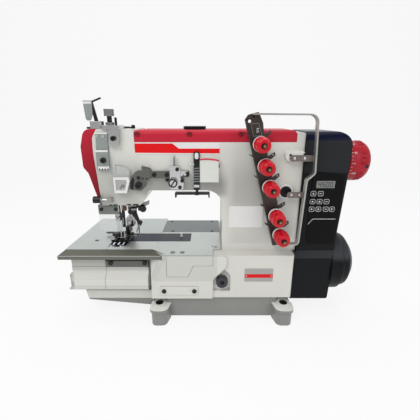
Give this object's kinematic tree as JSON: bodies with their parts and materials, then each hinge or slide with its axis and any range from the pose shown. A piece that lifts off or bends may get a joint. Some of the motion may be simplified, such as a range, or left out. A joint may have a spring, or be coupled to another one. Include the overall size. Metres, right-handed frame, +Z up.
{
  "type": "coverstitch sewing machine",
  "caption": "Flatbed coverstitch sewing machine head with built-in motor, hand wheel, thread tensions, needle bar, loopers' covers and cloth plates.",
  "frame": {"origin": "centre of the pattern of four foot bores, on the plane that the feet stand on", "axes": "+X from the needles towards the hand wheel, +Y away from the operator, +Z up"},
  "size_m": [0.5483, 0.225, 0.3974],
  "materials": {
    "white_paint": "satin machine paint, warm white",
    "grey_paint": "satin machine paint, mid grey",
    "red_paint": "satin crimson paint",
    "black_shell": "fine-grained charcoal plastic",
    "panel_gloss": "glossy black membrane",
    "plate_steel": "ground steel plate",
    "dark_plate": "dark blue burnished plate",
    "edge_steel": "ground steel, darker bevel",
    "shaft_steel": "turned and ground steel",
    "bright_steel": "nickel plated",
    "dark_sheet": "dark burnished sheet steel",
    "wheel_red": "glossy red plastic",
    "knob_red": "glossy red plastic",
    "winding": "varnished core and winding",
    "belt_rubber": "toothed rubber belt",
    "bronze": "plain bearing bronze",
    "grey_alloy": "satin cast alloy",
    "clear_plastic": "clear moulded plastic",
    "black_cap": "black moulded plastic",
    "button_grey": "dark grey moulded plastic",
    "label_film": "bare printed film",
    "black_screw": "black oxide steel"
  },
  "bodies": {
    "machine": {"oil_pan": "grey_paint", "bed_casting": "white_paint", "arm_casting": "white_paint", "top_cover": "red_paint", "face_cover": "red_paint", "motor_housing": "black_shell", "motor_cap": "black_shell", "control_panel": "panel_gloss", "front_plate": "plate_steel", "rear_plate": "plate_steel", "needle_plate": "dark_plate", "filler_strip": "dark_plate", "edge_plate": "edge_steel", "block_panel": "white_paint", "block_cap": "white_paint", "motor_stator": "winding", "timing_belt": "belt_rubber", "bearings": "bronze", "bar_bushes": "bronze", "presser_spring": "shaft_steel", "looper_block": "grey_alloy", "feed_guide": "grey_alloy", "pressure_bracket": "bright_steel", "thread_guide": "bright_steel", "guide_rail": "grey_alloy", "guide_hanger": "dark_sheet", "thread_shield": "clear_plastic", "oil_cup": "clear_plastic", "tension_bracket": "dark_sheet", "tension_discs": "bright_steel", "tension_springs": "shaft_steel", "guard_wire": "bright_steel", "eye_guard": "clear_plastic", "plugs": "black_cap", "labels": "label_film", "screws": "black_screw"},
    "arm_drive": {"arm_shaft": "shaft_steel", "hand_wheel": "wheel_red"},
    "lower_drive": {"main_shaft": "shaft_steel"},
    "needle_unit": {"needle_bar": "shaft_steel", "needles": "bright_steel"},
    "presser_unit": {"presser_bar": "shaft_steel"},
    "foot": {"presser_foot": "bright_steel"},
    "looper_unit": {"looper": "bright_steel"},
    "main_feed": {"main_feed_dog": "bright_steel"},
    "diff_feed": {"diff_feed_dog": "bright_steel"},
    "spreader_unit": {"spreader": "bright_steel"},
    "take_up_unit": {"take_up": "bright_steel"},
    "pressure_unit": {"pressure_knob": "bright_steel"},
    "front_door": {"front_cover": "white_paint", "cover_strip": "bright_steel"},
    "side_door": {"side_cover": "white_paint"},
    "slide_cover": {"slide_plate": "plate_steel"},
    "cap_unit": {"filler_cap": "black_cap"},
    "button_unit": {"stitch_button": "button_grey"},
    "knob_1": {"tension_knob_1": "knob_red"},
    "knob_2": {"tension_knob_2": "knob_red"},
    "knob_3": {"tension_knob_3": "knob_red"},
    "knob_4": {"tension_knob_4": "knob_red"},
    "knob_5": {"tension_knob_5": "knob_red"}
  },
  "joints": [
    {"name": "arm_turn", "type": "hinge", "parent": "machine", "child": "arm_drive", "pos_m": [0, -0.015, 0.292], "axis": [1, 0, 0], "continuous": true},
    {"name": "lower_turn", "type": "hinge", "parent": "machine", "child": "lower_drive", "pos_m": [0, -0.015, 0.098], "axis": [1, 0, 0], "continuous": true},
    {"name": "needle_stroke", "type": "slide", "parent": "machine", "child": "needle_unit", "axis": [0, 0, 1], "range_m": [-0.031, 0]},
    {"name": "presser_lift", "type": "slide", "parent": "machine", "child": "presser_unit", "axis": [0, 0, 1], "range_m": [0, 0.006], "stiffness_N_per_m": 2000, "springref_m": -0.012, "deforming": ["presser_spring"]},
    {"name": "foot_tilt", "type": "hinge", "parent": "presser_unit", "child": "foot", "pos_m": [-0.1855, 0.002, 0.1472], "axis": [1, 0, 0], "range_deg": [-4, 0]},
    {"name": "looper_rock", "type": "hinge", "parent": "machine", "child": "looper_unit", "pos_m": [-0.216, -0.0164, 0.072], "axis": [0, 1, 0], "range_deg": [-12, 12]},
    {"name": "main_feed_slide", "type": "slide", "parent": "machine", "child": "main_feed", "axis": [0, 1, 0], "range_m": [-0.002, 0.002]},
    {"name": "diff_feed_slide", "type": "slide", "parent": "machine", "child": "diff_feed", "axis": [0, 1, 0], "range_m": [-0.002, 0.002]},
    {"name": "spreader_swing", "type": "hinge", "parent": "machine", "child": "spreader_unit", "pos_m": [-0.163, -0.034, 0.2], "axis": [0, 0, 1], "range_deg": [-15, 15]},
    {"name": "take_up_rock", "type": "hinge", "parent": "machine", "child": "take_up_unit", "pos_m": [-0.209, -0.035, 0.355], "axis": [0, 1, 0], "range_deg": [-10, 10]},
    {"name": "pressure_turn", "type": "hinge", "parent": "machine", "child": "pressure_unit", "pos_m": [-0.187, -0.038, 0.35], "axis": [0, 0, 1], "range_deg": [-180, 180]},
    {"name": "front_door_hinge", "type": "hinge", "parent": "machine", "child": "front_door", "pos_m": [-0.174, -0.073, 0.063], "axis": [1, 0, 0], "range_deg": [0, 80]},
    {"name": "side_door_slide", "type": "slide", "parent": "machine", "child": "side_door", "axis": [-1, 0, 0], "range_m": [0, 0.045]},
    {"name": "slide_cover_slide", "type": "slide", "parent": "machine", "child": "slide_cover", "axis": [-1, 0, 0], "range_m": [0, 0.06]},
    {"name": "cap_turn", "type": "hinge", "parent": "machine", "child": "cap_unit", "pos_m": [-0.048, -0.015, 0.352], "axis": [0, 0, 1], "range_deg": [-180, 180]},
    {"name": "button_press", "type": "slide", "parent": "machine", "child": "button_unit", "axis": [0, 1, 0], "range_m": [0, 0.0025], "stiffness_N_per_m": 800, "springref_m": -0.003},
    {"name": "knob_turn_1", "type": "hinge", "parent": "machine", "child": "knob_1", "pos_m": [0.05723, -0.09, 0.32619], "axis": [0, -1, 0], "range_deg": [-180, 180]},
    {"name": "knob_turn_2", "type": "hinge", "parent": "machine", "child": "knob_2", "pos_m": [0.06636, -0.09, 0.2921], "axis": [0, -1, 0], "range_deg": [-180, 180]},
    {"name": "knob_turn_3", "type": "hinge", "parent": "machine", "child": "knob_3", "pos_m": [0.0755, -0.09, 0.258], "axis": [0, -1, 0], "range_deg": [-180, 180]},
    {"name": "knob_turn_4", "type": "hinge", "parent": "machine", "child": "knob_4", "pos_m": [0.08852, -0.09, 0.20941], "axis": [0, -1, 0], "range_deg": [-180, 180]},
    {"name": "knob_turn_5", "type": "hinge", "parent": "machine", "child": "knob_5", "pos_m": [0.09766, -0.09, 0.17532], "axis": [0, -1, 0], "range_deg": [-180, 180]}
  ],
  "couplings": [
    {"joint": "lower_turn", "follows": "arm_turn", "ratio": 1}
  ]
}
